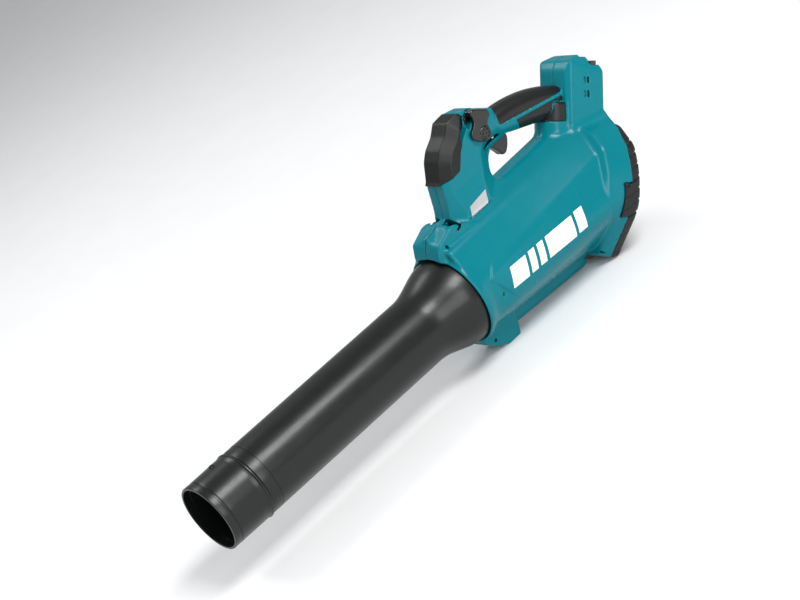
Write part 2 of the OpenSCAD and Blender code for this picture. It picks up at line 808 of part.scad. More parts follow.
// ---- nozzle ----
function flare(t) = tube_r + 0.8 + flare_gain * (1 - cos(180 * t)) / 2;
flare_end = ring_y + 3;
module nozzle_tube() {
    color(black) placed() {
        along_y() difference() {
            rotate_extrude($fn = 96) polygon(concat(
                [[outlet_r, lip_l], [lip_r + 0.8, lip_l], [lip_r + 0.8, collar_l], [tube_r, collar_l]],
                [[tube_r, 70], [tube_r - 0.6, 70.4], [tube_r - 0.6, 71.4], [tube_r, 71.8]],
                [for (i = [0 : flare_steps]) let (t = i / flare_steps)
                    [flare(t), flare_start + (flare_end - flare_start) * t]],
                [[sleeve_r, flare_end], [sleeve_r, ring_y + sleeve_l], [sleeve_r - 2.6, ring_y + sleeve_l]],
                [[sleeve_r - 2.6, flare_end]],
                [for (i = [flare_steps : -1 : 0]) let (t = i / flare_steps)
                    [min(flare(t) - nozzle_wall, sleeve_r - 2.6),
                        flare_start + (flare_end - flare_start) * t]],
                [[tube_r - nozzle_wall, collar_l + 8], [outlet_r, collar_l + 4]]
            ));
        }
        for (i = [0 : 2]) intersection() {
            along_y(ring_y + twist_lug_y) tube(sleeve_r + twist_lug_h, sleeve_r - 0.5, 6);
            along_y(ring_y) rotate(30 + i * 120) translate([0, -9, 0]) cube([80, 18, 30]);
        }
    }
}
module nozzle_collar() {
    color(black) placed() {
        along_y() rotate_extrude($fn = 96) polygon([
            [lip_r, 0], [collar_r - 0.8, 0], [collar_r, 0.8], [collar_r, 8], [collar_r - 0.7, 8.4],
            [collar_r - 0.7, 9.6], [collar_r, 10], [tube_r, collar_l - 3], [tube_r + 1, collar_l - 2.5],
            [tube_r + 1, collar_l - 0.5], [tube_r, collar_l], [lip_r + 0.8 + spigot_gap, collar_l],
            [lip_r + 0.8 + spigot_gap, lip_l], [lip_r, lip_l]
        ]);
        for (turn = [0, 180]) along_y(lug_y) rotate([0, 90, -lug_turn + turn])
            translate([0, 0, collar_r - 0.8]) cylinder(r = 3.5, h = 3);
    }
}
module nozzle_seal() {
    color([0.1, 0.1, 0.1]) placed() along_y(seal_y) tube(sleeve_r - 2.7, sleeve_r - 4.4, 3);
}

housing_left();
housing_right();
front_bumper();
grip_upper_skin();
grip_lower_skin();
column_boot();
intake_cover();
cover_screws();
housing_screws();
battery_rails();
terminal_block();
terminal_blades();
controller_case();
controller_board();
switch_body();
battery_leads();
switch_leads();
motor_leads();
fan_duct();
duct_rubber_rings();
guide_vanes();
pod_tail_cone();
motor_end_plates();
stator_core();
stator_coils();
sensor_board();
bearing_outer_rings();
bearing_balls();
motor_shaft();
bearing_inner_rings();
rotor_core();
rotor_magnets();
fan_impeller();
fan_nut();
fan_spinner();
trigger();
trigger_pin();
trigger_spring();
switch_plunger();
speed_lever();
lever_cap();
lever_shaft();
lever_clip();
speed_cam();
nozzle_tube();
nozzle_collar();
nozzle_seal();
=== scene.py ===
"""Looks of a cordless leaf blower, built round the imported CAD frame.

Shapes are worked out in the station frame, in millimetres: x is the tool's left, y the distance behind
the nozzle lip and z the height above the nozzle axis. Moulded pieces are signed distance fields, negative
inside, which solid() turns into meshes; round pieces are turned profiles.
"""
import math
from concurrent.futures import ThreadPoolExecutor

import bpy
import numpy as np
from mathutils import Matrix, Vector


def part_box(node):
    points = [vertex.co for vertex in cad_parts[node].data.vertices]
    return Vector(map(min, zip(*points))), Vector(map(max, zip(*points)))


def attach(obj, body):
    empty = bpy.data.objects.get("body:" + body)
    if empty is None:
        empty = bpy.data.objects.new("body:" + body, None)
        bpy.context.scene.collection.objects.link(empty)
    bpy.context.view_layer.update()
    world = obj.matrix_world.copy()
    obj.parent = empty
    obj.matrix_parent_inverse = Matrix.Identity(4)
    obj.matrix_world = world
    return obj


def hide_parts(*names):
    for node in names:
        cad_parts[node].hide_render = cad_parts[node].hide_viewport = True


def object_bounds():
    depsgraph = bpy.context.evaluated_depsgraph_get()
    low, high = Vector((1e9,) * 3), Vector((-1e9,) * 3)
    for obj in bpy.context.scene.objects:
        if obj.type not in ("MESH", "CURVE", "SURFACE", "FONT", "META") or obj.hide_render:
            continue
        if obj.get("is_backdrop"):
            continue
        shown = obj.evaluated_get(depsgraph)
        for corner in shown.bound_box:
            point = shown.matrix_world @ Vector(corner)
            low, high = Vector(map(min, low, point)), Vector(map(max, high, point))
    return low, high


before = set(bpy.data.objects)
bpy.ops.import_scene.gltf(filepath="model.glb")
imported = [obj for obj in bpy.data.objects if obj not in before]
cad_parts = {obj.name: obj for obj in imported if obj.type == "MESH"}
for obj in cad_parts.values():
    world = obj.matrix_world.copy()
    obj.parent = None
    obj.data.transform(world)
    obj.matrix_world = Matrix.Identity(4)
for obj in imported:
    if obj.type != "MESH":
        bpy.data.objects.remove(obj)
cad_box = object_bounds()
collar_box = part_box("nozzle_collar")
LIP_Y = cad_box[0].y
AXIS_Z = (collar_box[0].z + collar_box[1].z) / 2
FLOOR = -1000 * AXIS_Z
CELL = 1.45
LEAN = math.radians(30)
COS, SIN = math.cos(LEAN), math.sin(LEAN)


def to_row(points):
    """Station millimetres to metres in the row frame."""
    return np.asarray(points, float) / 1000 + (0, LIP_Y, AXIS_Z)


# ---- signed distance fields ----
def smin(a, b, k):
    h = np.maximum(k - np.abs(a - b), 0) / k
    return np.minimum(a, b) - h * h * k / 4


def smax(a, b, k):
    return -smin(-a, -b, k)


def step(low, high, value):
    t = np.clip((value - low) / (high - low), 0, 1)
    return t * t * (3 - 2 * t)


def rounded(points, radius):
    """The outline with each corner replaced by a short curve."""
    pts = np.asarray(points, float)
    made = []
    for before, here, after in zip(np.roll(pts, 1, 0), pts, np.roll(pts, -1, 0)):
        back, on = before - here, after - here
        reach = min(radius, 0.45 * np.hypot(*back), 0.45 * np.hypot(*on))
        a, b = here + back / np.hypot(*back) * reach, here + on / np.hypot(*on) * reach
        for t in (0, 0.25, 0.5, 0.75, 1):
            made.append((1 - t) ** 2 * a + 2 * t * (1 - t) * here + t * t * b)
    return np.array(made)


def poly(p, q, points):
    """Signed distance to a closed outline in the plane of p and q."""
    far = np.full(p.shape, 1e12)
    inside = np.zeros(p.shape, bool)
    for (a, b), (c, d) in zip(points, np.roll(points, -1, 0)):
        ep, eq, wp, wq = c - a, d - b, p - a, q - b
        t = np.clip((wp * ep + wq * eq) / (ep * ep + eq * eq), 0, 1)
        far = np.minimum(far, (wp - t * ep) ** 2 + (wq - t * eq) ** 2)
        if eq:
            inside ^= ((b > q) != (d > q)) & (p < ep * (q - b) / eq + a)
    return np.where(inside, -1, 1) * np.sqrt(far)


def rect(p, q, lo, hi, r=0.0):
    """Signed distance to the rectangle from lo to hi with corner radius r."""
    a = np.abs(p - (lo[0] + hi[0]) / 2) - (hi[0] - lo[0]) / 2 + r
    b = np.abs(q - (lo[1] + hi[1]) / 2) - (hi[1] - lo[1]) / 2 + r
    return np.hypot(np.maximum(a, 0), np.maximum(b, 0)) + np.minimum(np.maximum(a, b), 0) - r


def plane(p, q, angle, distance):
    """Half-plane whose outward normal is at angle, in degrees, from p towards q."""
    turn = np.radians(angle)
    return p * np.cos(turn) + q * np.sin(turn) - distance


def near(lo, hi, field, x, y, z, reach=14.0):
    """field, worked out only within reach of the box from lo to hi, and a far distance elsewhere."""
    gap = np.zeros(x.shape)
    for value, a, b in zip((x, y, z), lo, hi):
        gap = np.maximum(gap, np.maximum(a - value, value - b))
    made = np.maximum(gap, reach)
    close = gap < reach
    if close.any():
        made[close] = field(x[close], y[close], z[close])
    return made


def tilt(y, z):
    """Leaned depth and height of a point."""
    return COS * y - SIN * z, SIN * y + COS * z


# ---- from a field to a mesh ----
POOL = ThreadPoolExecutor(4)


def sampled(field, points):
    """The field at each point, in chunks on all cores."""
    chunks = np.array_split(points, max(1, len(points) // 30000))
    return np.concatenate(list(POOL.map(lambda c: field(c[:, 0], c[:, 1], c[:, 2]), chunks)))


def gradient(field, points, reach):
    """Unit gradient from four samples round each point."""
    corners = np.array([[1, -1, -1], [-1, -1, 1], [-1, 1, -1], [1, 1, 1]], float)
    total = sum(c * sampled(field, points + c * reach)[:, None] for c in corners)
    return total / np.maximum(np.linalg.norm(total, axis=1), 1e-12)[:, None]


def contour(field, lo, hi, cell):
    """Vertices and quads of the surface field = 0, by dual contouring on a block-sparse grid."""
    block = 8
    lo = np.asarray(lo, float) - 2 * cell
    counts = np.ceil((np.asarray(hi, float) + 2 * cell - lo) / cell / block).astype(int)
    middles = np.stack(np.meshgrid(*[np.arange(n) for n in counts], indexing="ij"), -1).reshape(-1, 3)
    middle_value = sampled(field, lo + (middles + 0.5) * block * cell)
    grid = np.repeat(np.repeat(np.repeat(middle_value.reshape(counts), block, 0), block, 1), block, 2)
    kept = middles[np.abs(middle_value) < 0.5 * block * cell * math.sqrt(3) * 1.35]
    inner = np.stack(np.meshgrid(*[np.arange(block)] * 3, indexing="ij"), -1).reshape(-1, 3)
    index = (kept[:, None, :] * block + inner[None]).reshape(-1, 3)
    grid[tuple(index.T)] = sampled(field, lo + index * cell)
    inside = grid < 0
    shape = np.array(grid.shape)
    cell_sum = np.zeros(shape - 1, np.int8)
    for c in np.ndindex(2, 2, 2):
        cell_sum += inside[tuple(slice(a, n - 1 + a) for a, n in zip(c, shape))]
    active = np.argwhere((cell_sum > 0) & (cell_sum < 8))
    number = np.full(shape - 1, -1)
    number[tuple(active.T)] = np.arange(len(active))
    ata = np.zeros((len(active), 3, 3))
    atb = np.zeros((len(active), 3))
    mass = np.zeros((len(active), 4))
    quads = []
    for axis in range(3):
        along = np.eye(3, dtype=int)[axis]
        size = shape - along
        first = inside[tuple(slice(0, n) for n in size)]
        second = inside[tuple(slice(a, n + a) for a, n in zip(along, size))]
        at = np.argwhere(first != second)
        others = [i for i in range(3) if i != axis]
        at = at[np.all((at[:, others] > 0) & (at[:, others] < shape[others] - 1), axis=1)]
        f0, f1 = grid[tuple(at.T)], grid[tuple((at + along).T)]
        points = lo + cell * (at + along * (f0 / (f0 - f1))[:, None])
        normals = gradient(field, points, 0.12 * cell)
        around = []
        for a, b in ((0, 0), (1, 0), (1, 1), (0, 1)):
            shift = np.zeros(3, int)
            shift[others[0]], shift[others[1]] = -a, -b
            ids = number[tuple((at + shift).T)]
            around.append(ids)
            np.add.at(ata, ids, normals[:, :, None] * normals[:, None, :])
            np.add.at(atb, ids, normals * (normals * points).sum(1)[:, None])
            np.add.at(mass, ids, np.c_[points, np.ones(len(points))])
        quad = np.stack(around, 1)
        flip = first[tuple(at.T)] ^ (axis == 1)
        quad[~flip] = quad[~flip][:, ::-1]
        quads.append(quad)
    centre = mass[:, :3] / np.maximum(mass[:, 3:], 1)
    pull = 0.08
    right = atb - (ata @ centre[:, :, None])[:, :, 0]
    moved = np.linalg.solve(ata + pull * np.eye(3), right[:, :, None])[:, :, 0]
    moved = np.clip(centre + moved, lo + (active - 0.2) * cell, lo + (active + 1.2) * cell)
    used = np.concatenate(quads)
    used = used[(used >= 0).all(1)]
    return moved, used


def mesh_object(name, points, faces, normals=None):
    """A mesh object from station points, with smooth faces and, where given, its own normals."""
    mesh = bpy.data.meshes.new(name)
    mesh.from_pydata(to_row(points).tolist(), [], [tuple(f) for f in np.asarray(faces).tolist()])
    mesh.validate()
    mesh.shade_smooth()
    if normals is not None and len(mesh.vertices) == len(normals):
        mesh.normals_split_custom_set_from_vertices(normals.tolist())
    made = bpy.data.objects.new(name, mesh)
    bpy.context.scene.collection.objects.link(made)
    return made


def solid(name, field, lo, hi, cell=CELL):
    """The moulded piece that the field describes, within the box from lo to hi."""
    points, faces = contour(field, lo, hi, cell)
    return mesh_object(name, points, faces, gradient(field, points, 0.25))


# ---- shapes of the housing ----
RING_Y, RING_R = 400.0, 61.5
FACE_U, FACE_V = 568.0, 319.0
WALL = 3.2
SEAM = 0.22
# Half-planes of the slanted intake face: direction of the normal, from +x upwards, and distance
TAIL = ((-90, 84), (-32, 80.9), (-17.5, 81.8), (0, 82), (14, 84.9), (45, 90.5), (78, 86.8), (90, 84))
# Outlines from the side, as [station, height]
COLUMN = rounded([
    (424, 60), (425, 86.5), (433, 87), (440, 88), (443.5, 97.5), (451, 133), (460, 153), (469, 163),
    (484, 172), (495, 184), (513, 186), (535, 182), (546, 171), (562, 166), (566, 124), (541, 123),
    (532, 117), (525, 101), (526, 90), (536, 78), (540, 60)], 5)
COLUMN_CAVITY = np.array([
    (454, 40), (454, 100), (471, 122), (492, 146), (508, 160), (530, 166), (543, 160), (556, 155),
    (556, 131), (524, 129), (508, 106), (508, 40)], float)
WINDOW = rounded([(533, 124), (525, 101), (526, 86), (610, 86), (622, 92), (600, 112), (560, 124)], 5)
BUMPER = rounded([
    (445.5, 129), (450, 133.5), (459, 153.8), (468.2, 164.2), (483.4, 173.3), (494.4, 185.4),
    (513.3, 187.3), (519, 178), (516, 169.5), (501, 160), (489, 148), (477.5, 131.5), (462, 129.5)], 2.5)
FLANGE = rounded([
    (397, 40), (394.5, 61), (400.5, 77), (424.5, 86.5), (433, 86), (446, 80), (462, 70), (462, 40)], 3)
BOSS = rounded([
    (402.5, -40), (403.5, -66.5), (421, -80), (437, -87), (456.5, -87), (461, -72), (464, -40)], 2)
LEVER_AT = (530.0, 149.5)
LEVER_HUB_R, LEVER_SWEEP_R, LEVER_FLOOR = 20.5, 33.0, 11.5
TRIGGER_AT = (547.0, 134.0)
GRIP_AT, GRIP_FALL, GRIP_L, GRIP_R = (548.0, 148.0), math.radians(17.5), 119.0, 17.0
PILLAR_U = 515.0
SKIN_FRONT_U = PILLAR_U + 2
# Screws of the housing: [station, height, half width of the shell there]
SCREWS = ((411, 70, 24), (419, -70, 21), (456, 112, 20.5), (505, 160, 20.5), (500, 65, 28),
          (575, 66, 28), (686, 140, 28))
# Screws of the intake cover, on both sides: [distance from the middle, height on the face]
COVER_SCREWS = ((69, 40), (41, -76))
LOUVRE_PITCH, LOUVRE_BAY, MULLION_AT = 12.4, 28.0, 12.6


def outline(ax, w):
    """Distance to the outline of the intake face."""
    d = plane(ax, w, *TAIL[0])
    for row in TAIL[1:]:
        d = smax(d, plane(ax, w, *row), 3)
    return d


def trunk(x, y, z):
    """Main body between the front ring and the intake face, without its fittings."""
    ax, s = np.abs(x), y - 432
    u, v = tilt(y, z)
    w = v - FACE_V
    top = z - 84 - 0.042 * np.maximum(y - 526, 0)
    slope = plane(ax, z, 57, 76.5 + 0.036 * (y - 526))
    bevel = plane(ax, z, 28.8 + 0.0944 * s, 60.7 + 0.0815 * s)
    side = smax(plane(ax, z, 9 + 0.05 * s, 59.3 + 0.0705 * s), plane(ax, z, -10, 59 + 0.1125 * s), 7)
    behind_edge = np.minimum((11 * (y - 424) - 10 * (z - 16)) / 14.9, (41 * (y - 424) + 25 * (z - 16)) / 48)
    side = side + 1.9 * (1 - step(-1.8, 2.2, behind_edge)) * (1 - step(-5, -45, z))
    low = smax(plane(ax, z, -38, 60.5 + 0.0516 * s), plane(ax, z, -64, 60 + 0.052 * s), 16)
    low = smax(low, -z - 60 - 0.04 * s, 12)
    d = smax(smax(top, slope, 2.5), bevel, 2.2)
    d = smax(smax(d, side, 2.2), low, 9)
    d = smax(d, 404 - y, 4)
    flare = 0.22 * (FACE_U - u)
    tail = smax(outline(ax, w) + flare, 533 + 17 * step(10, -50, w) - u, 6)
    d = smin(d, tail, 7)
    lip = np.hypot(x, z) - RING_R + 5.5 * step(403, 424, y)
    return smin(d, smax(smax(lip, RING_Y - y, 2.2), y - 430, 4), 4)


def keel(x, y, z):
    """Rib under the body, on which the tool stands."""
    deep = 76.4 + 0.0603 * (y - 455) - 8
    a, b = np.abs(x) - 6, -z - deep
    d = np.hypot(np.maximum(a, 0), np.maximum(b, 0)) + np.minimum(np.maximum(a, b), 0) - 8
    return smax(smax(smax(d, z + 40, 4), y - 599, 8), 440 - y, 4)


def front_column(x, y, z):
    """Column between the body and the front of the grip."""
    ax = np.abs(x)
    side = poly(y, z, COLUMN)
    half = 20.5 + 7.5 * np.clip((115 - z) / 42, 0, 1)
    edge = poly(y, z, WINDOW)
    d = smax(side, (ax - half) * 0.98, 1.5)
    d = smax(d, (ax - 14.5 - 0.62 * np.maximum(-side, 0)) / 1.177, 1.5)
    return smax(d, (ax - 9.5 - 0.55 * np.maximum(edge, 0)) / 1.141, 2)


def battery_column(x, y, z):
    """Column behind the grip, which carries the battery rails on its rear face."""
    ax = np.abs(x)
    u, v = tilt(y, z)
    d = smax(517 - u, plane(ax, u, -45, -350), 1.2)
    d = smax(d, plane(ax, u, -13.76, -97.69), 1.2)
    top = smax(v - 484, plane(ax, v, 41.2, 333.8), 2)
    top = smax(top, smax(plane(u, v, 153.4, -253.5), plane(u, v, 113.6, 227.8), 2), 2)
    return smax(smax(d, top, 2), smax(u - 566, 350 - v, 1), 1.5)


def pillar(x, y, z, r, low, high, round_top=5):
    """Leaned round post under the rear of the grip, from low to high along its lean."""
    u, v = tilt(y, z)
    return smax(smax(np.hypot(x, u - PILLAR_U) - r, v - high, round_top), low - v, 1)


def grip_place(y, z):
    """Distance along the grip and height above its axis."""
    dy, dz = y - GRIP_AT[0], z - GRIP_AT[1]
    c, s = math.cos(GRIP_FALL), math.sin(GRIP_FALL)
    return c * dy - s * dz, s * dy + c * dz


def grip(x, y, z, inset=0.0):
    """Bar of the grip, with its crowned top."""
    g, n = grip_place(y, z)
    top = 25.2 - 0.0024 * (g - 74) ** 2
    d = rect(x, n, (-GRIP_R, -GRIP_R), (GRIP_R, top), 14.5)
    return smax(d + inset, smax(-g, g - GRIP_L - 6, 1), 1)


def stripe(y, z):
    """Height above the bare stripe between both grip skins, and the place along the grip."""
    g, n = grip_place(y, z)
    return n + 6.4 - 0.134 * g, g


def upper_region(y, z, gap):
    """Where the upper skin lies, drawn in by gap."""
    over, g = stripe(y, z)
    return smax(2.3 + gap - over, 11 + gap - g, 1.2)


def lower_region(y, z, gap):
    """Where the lower skin lies, drawn in by gap."""
    over, g = stripe(y, z)
    return smax(over + 2.3 + gap, 40 + gap - g - 0.6 * over, 1.2)


def slats(z, half):
    """Distance to the nearest gap of the louvred intake."""
    middle = LOUVRE_PITCH / 2
    return np.abs((z + middle) % LOUVRE_PITCH - middle) - half


def tabs(ax, u, w, gap):
    """Side tabs of the intake cover, which reach forward over the housing."""
    return smax(rect(u, w, (556 - gap, -33 - gap), (575, 9 + gap), 2), 62 - gap - ax, 1)


def screw_boss(x, y, z):
    """Boss under the front ring, which holds its lower screw."""
    return smax(poly(y, z, BOSS), np.abs(x) - 18.5, 3)


def front_flange(x, y, z):
    """Flange on top of the front ring, which holds its upper screw."""
    return smax(poly(y, z, FLANGE), np.abs(x) - 24.5 - 0.06 * (y - 400), 3.5)


def grip_post(x, y, z):
    return pillar(x, y, z, 22, 360, 426)


def housing_outer(x, y, z):
    """Outside of both halves of the housing together."""
    d = trunk(x, y, z)
    d = smin(d, near((-16, 436, -90), (16, 604, -38), keel, x, y, z), 5)
    d = smin(d, near((-20, 400, -88), (20, 466, -38), screw_boss, x, y, z), 3)
    d = smin(d, near((-27, 394, 40), (27, 464, 98), front_flange, x, y, z), 4)
    d = smin(d, near((-30, 424, 58), (30, 568, 188), front_column, x, y, z), 5)
    d = smin(d, near((-40, 560, 0), (40, 730, 160), battery_column, x, y, z), 6)
    d = smin(d, near((-24, 590, 30), (24, 690, 130), grip_post, x, y, z), 5)
    bar = near((-18, 545, 90), (18, 680, 175), grip_core, x, y, z)
    return smin(d, bar, 3)


def grip_core(x, y, z):
    """Grip of the housing, set back below both skins."""
    skins = np.minimum(upper_region(y, z, 0), lower_region(y, z, 0))
    return smax(grip(x, y, z), -smax(skins, -grip(x, y, z, 2.4), 0.4), 0.4)


def body_cavity(x, y, z):
    """Room inside the body, both columns and the grip."""
    u, v = tilt(y, z)
    d = smax(trunk(x, y, z) + WALL, 431 - y, 1)
    column = smax(battery_column(x, y, z) + WALL, smax(u - 549, v - 466, 1), 1)
    front = smax(poly(y, z, COLUMN_CAVITY), np.abs(x) - 14.5, 1)
    bar = smax(grip(x, y, z, 5), 2 - grip_place(y, z)[0], 1)
    return np.minimum(np.minimum(d, column), np.minimum(front, bar))


def strap_slot(ax, y, z):
    """Slanting slot for a strap, where the foot of the front column meets the flange."""
    a, b, c = ax - 16.5, y - 437, z - 83.5
    along = 0.722 * a + 0.31 * b - 0.619 * c
    across = 0.91 * b + 0.415 * c
    deep = 0.69 * a - 0.3 * b + 0.66 * c
    return smax(rect(along, across, (-10.5, -5), (10.5, 5), 1.5), np.abs(deep + 3) - 8, 0.5)


def lever_arc(x, y, z, reach=LEVER_SWEEP_R):
    """Curved channel in which the speed lever's blade sweeps, and the distance from its hub."""
    hub = np.hypot(y - LEVER_AT[0], z - LEVER_AT[1])
    return smax(smax(LEVER_HUB_R - hub, hub - reach, 1), LEVER_FLOOR - x, 1), hub


def openings(x, y, z):
    """Everything cut out of the housing from outside."""
    ax = np.abs(x)
    u, v = tilt(y, z)
    w = v - FACE_V
    r = np.hypot(x, z)
    mouth = smax(r - 57.9 - 0.5 * np.maximum(403.5 - y, 0), y - 403.6, 0.4)
    d = np.minimum(smax(r - 54, y - 427, 0.5), mouth)
    d = np.minimum(d, smax(r - 55.6, np.abs(y - 430) - 4, 0.3))
    d = np.minimum(d, FACE_U - u)
    seat = smax(smax(ax - 31, 552 - u, 1.5), 412 - v, 1.5)
    notch = smax(rect(x, u, (-20, 541), (22, 560), 1.5), 471 - v, 1)
    d = np.minimum(d, np.minimum(seat, notch))
    for middle in (452.5, 436):
        for shift in (-2.3, 2.3):
            hole = rect(u, v, (542.2 + shift, middle - 4.2), (544.8 + shift, middle + 4.2), 0.8)
            d = np.minimum(d, smax(hole, 30 - ax, 0.5))
    d = np.minimum(d, strap_slot(ax, y, z))
    window = rect(y, z, (536.5, 95), (578, 142), 1)
    d = np.minimum(d, smax(window, ax - 8.1, 0.5))
    arc, hub = lever_arc(x, y, z)
    arc = smax(arc, smax(164 - z - 0.35 * (530 - y), 514 - y, 1), 1)
    flat = smax(hub - LEVER_SWEEP_R, 20.5 - x, 0.8)
    shaft = smax(hub - 4.1, -x, 0.1)
    d = np.minimum(d, np.minimum(arc, np.minimum(flat, shaft)))
    for at_y, at_z, half in SCREWS:
        hole = np.hypot(y - at_y, z - at_z)
        head = smax(hole - 4, x + half - 6, 0.5)
        d = np.minimum(d, head)
    for at_y, at_z, _ in SCREWS[:2]:
        tip = smax(np.hypot(y - at_y, z - at_z) - 2.2, 10 - x, 0.3)
        d = np.minimum(d, tip)
    for at_x, at_w in COVER_SCREWS:
        d = np.minimum(d, smax(np.hypot(ax - at_x, w - at_w) - 2, 552 - u, 0.3))
    return np.minimum(d, tabs(ax, u, w, 0.25))


def bumper_solid(x, y, z):
    """Faceted guard over the front of the column."""
    side = poly(y, z, BUMPER)
    front = poly(y, z, COLUMN)
    ax = np.abs(x)
    d = smax(side, ax - 21.7, 1.2)
    depth = np.maximum(-front + 1.3, 0)
    return smax(d, (ax - 12.5 - 0.66 * depth) / 1.2, 1.0)


def housing(side):
    """Field of one half of the housing, left for +1 and right for -1."""
    def field(x, y, z):
        d = housing_outer(x, y, z)
        # Deep inside everything is hollow, so only points near the outside are worked out
        close = d > -14
        hollow = np.zeros(x.shape)
        if close.any():
            spots = x[close], y[close], z[close]
            cut = np.minimum(openings(*spots), body_cavity(*spots))
            cut = np.minimum(cut, near((-22, 444, 128), (22, 520, 188), pocket, *spots))
            hollow[close] = np.minimum(cut, boot_pocket(*spots))
        d = smax(d, -hollow, 0.5)
        open_seam = 0.85 * (1 - step(424, 431, y)) * step(55, 60, np.abs(z)) * step(397, 399, y)
        return smax(d, SEAM + open_seam - side * x, 0.9)
    return field


def pocket(x, y, z):
    """Recess of the housing for the front guard."""
    return smax(poly(y, z, BUMPER), np.abs(x) - 30, 1) - 0.15


def boot_pocket(x, y, z):
    """Groove of the housing for the boot round the pillar, clear of the grip."""
    ring = pillar(x, y, z, 30, 404, 430)
    core = pillar(x, y, z, 19.5, 380, 440)
    u = tilt(y, z)[0]
    return np.maximum(np.maximum(ring, -core), np.maximum(u - SKIN_FRONT_U, -grip(x, y, z)))


# ---- materials ----
def plastic(name, colour, rough, grain=0.0, grain_scale=2600, coat=0.0, mottle=0.06, specular=0.5):
    """Moulded plastic or rubber with an even colour, uneven gloss and a fine surface grain."""
    made = bpy.data.materials.new(name)
    made.use_nodes = True
    nodes, links = made.node_tree.nodes, made.node_tree.links
    shader = nodes["Principled BSDF"]
    place = nodes.new("ShaderNodeTexCoord")
    broad = nodes.new("ShaderNodeTexNoise")
    broad.inputs["Scale"].default_value = 14
    broad.inputs["Detail"].default_value = 4
    links.new(place.outputs["Object"], broad.inputs["Vector"])
    ramp = nodes.new("ShaderNodeValToRGB")
    for element, share in zip(ramp.color_ramp.elements, (1 - mottle, 1 + mottle)):
        element.color = (*[min(1.0, c * share) for c in colour], 1)
    ramp.color_ramp.elements[0].position, ramp.color_ramp.elements[1].position = 0.3, 0.7
    links.new(broad.outputs["Fac"], ramp.inputs["Fac"])
    links.new(ramp.outputs["Color"], shader.inputs["Base Color"])
    fine = nodes.new("ShaderNodeTexNoise")
    fine.inputs["Scale"].default_value = grain_scale
    fine.inputs["Detail"].default_value = 2
    links.new(place.outputs["Object"], fine.inputs["Vector"])
    spread = nodes.new("ShaderNodeMapRange")
    spread.inputs["To Min"].default_value = rough - 0.06
    spread.inputs["To Max"].default_value = rough + 0.08
    smear = nodes.new("ShaderNodeTexNoise")
    smear.inputs["Scale"].default_value = 60
    smear.inputs["Detail"].default_value = 6
    links.new(place.outputs["Object"], smear.inputs["Vector"])
    links.new(smear.outputs["Fac"], spread.inputs["Value"])
    links.new(spread.outputs["Result"], shader.inputs["Roughness"])
    bump = nodes.new("ShaderNodeBump")
    bump.inputs["Strength"].default_value = grain
    bump.inputs["Distance"].default_value = 0.0002
    links.new(fine.outputs["Fac"], bump.inputs["Height"])
    links.new(bump.outputs["Normal"], shader.inputs["Normal"])
    shader.inputs["Specular IOR Level"].default_value = specular
    shader.inputs["Coat Weight"].default_value = coat
    shader.inputs["Coat Roughness"].default_value = 0.12
    return made


def metal(name, colour, rough, lines=0.0):
    """Metal with fine turned or rolled lines."""
    made = plastic(name, colour, rough, grain=0.15, grain_scale=900, mottle=0.1)
    shader = made.node_tree.nodes["Principled BSDF"]
    shader.inputs["Metallic"].default_value = 1.0
    if lines:
        wave = made.node_tree.nodes.new("ShaderNodeTexWave")
        wave.inputs["Scale"].default_value = lines
        place = next(n for n in made.node_tree.nodes if n.type == "TEX_COORD")
        bump = next(n for n in made.node_tree.nodes if n.type == "BUMP")
        made.node_tree.links.new(place.outputs["Object"], wave.inputs["Vector"])
        made.node_tree.links.new(wave.outputs["Fac"], bump.inputs["Height"])
    return made


TEAL = plastic("teal_plastic", (0.0, 0.15, 0.185), 0.24, grain=0.05, coat=0.05, mottle=0.03,
               specular=0.16)
NOZZLE = plastic("nozzle_plastic", (0.004, 0.0055, 0.0045), 0.32, grain=0.12, coat=0.05, specular=0.34)
BUMPER_RUBBER = plastic("bumper_rubber", (0.006, 0.007, 0.0065), 0.38, specular=0.28, grain=0.35,
                        grain_scale=1800)
GRIP_RUBBER = plastic("grip_rubber", (0.006, 0.006, 0.006), 0.34, specular=0.35, grain=0.3,
                      grain_scale=2000)
COVER = plastic("cover_plastic", (0.007, 0.008, 0.008), 0.4, specular=0.28, grain=0.3, grain_scale=1700)
LEVER = plastic("lever_plastic", (0.004, 0.004, 0.0045), 0.2, grain=0.05, coat=0.3, specular=0.4)
CAP = plastic("lever_cap_plastic", (0.012, 0.012, 0.012), 0.35, grain=0.15)
TRIGGER = plastic("trigger_plastic", (0.014, 0.014, 0.0145), 0.4, grain=0.2)
DUCT = plastic("duct_plastic", (0.018, 0.018, 0.02), 0.45, grain=0.2)
FAN = plastic("fan_plastic", (0.03, 0.03, 0.032), 0.4, grain=0.25, grain_scale=1200)
SEAT = plastic("seat_plastic", (0.02, 0.02, 0.021), 0.4, grain=0.2)
RUBBER = plastic("seal_rubber", (0.015, 0.015, 0.015), 0.65, grain=0.3)
BOARD = plastic("board_coating", (0.02, 0.13, 0.06), 0.3, grain=0.1, mottle=0.15)
CAM = plastic("cam_plastic", (0.6, 0.6, 0.57), 0.4, grain=0.1)
RED = plastic("red_lead_skin", (0.42, 0.02, 0.02), 0.4, grain=0.1)
BLACK = plastic("black_lead_skin", (0.02, 0.02, 0.02), 0.45, grain=0.1)
YELLOW = plastic("yellow_lead_skin", (0.6, 0.42, 0.03), 0.4, grain=0.1)
WHITE = plastic("white_print", (0.86, 0.87, 0.87), 0.38, grain=0.05, mottle=0.02)
SILVER = metal("silver_print", (0.62, 0.62, 0.63), 0.34)
STEEL = metal("ground_steel", (0.56, 0.57, 0.58), 0.25, lines=400)
DARK_STEEL = metal("blackened_steel", (0.12, 0.12, 0.125), 0.38, lines=300)
ALUMINIUM = metal("cast_aluminium", (0.6, 0.61, 0.63), 0.45)
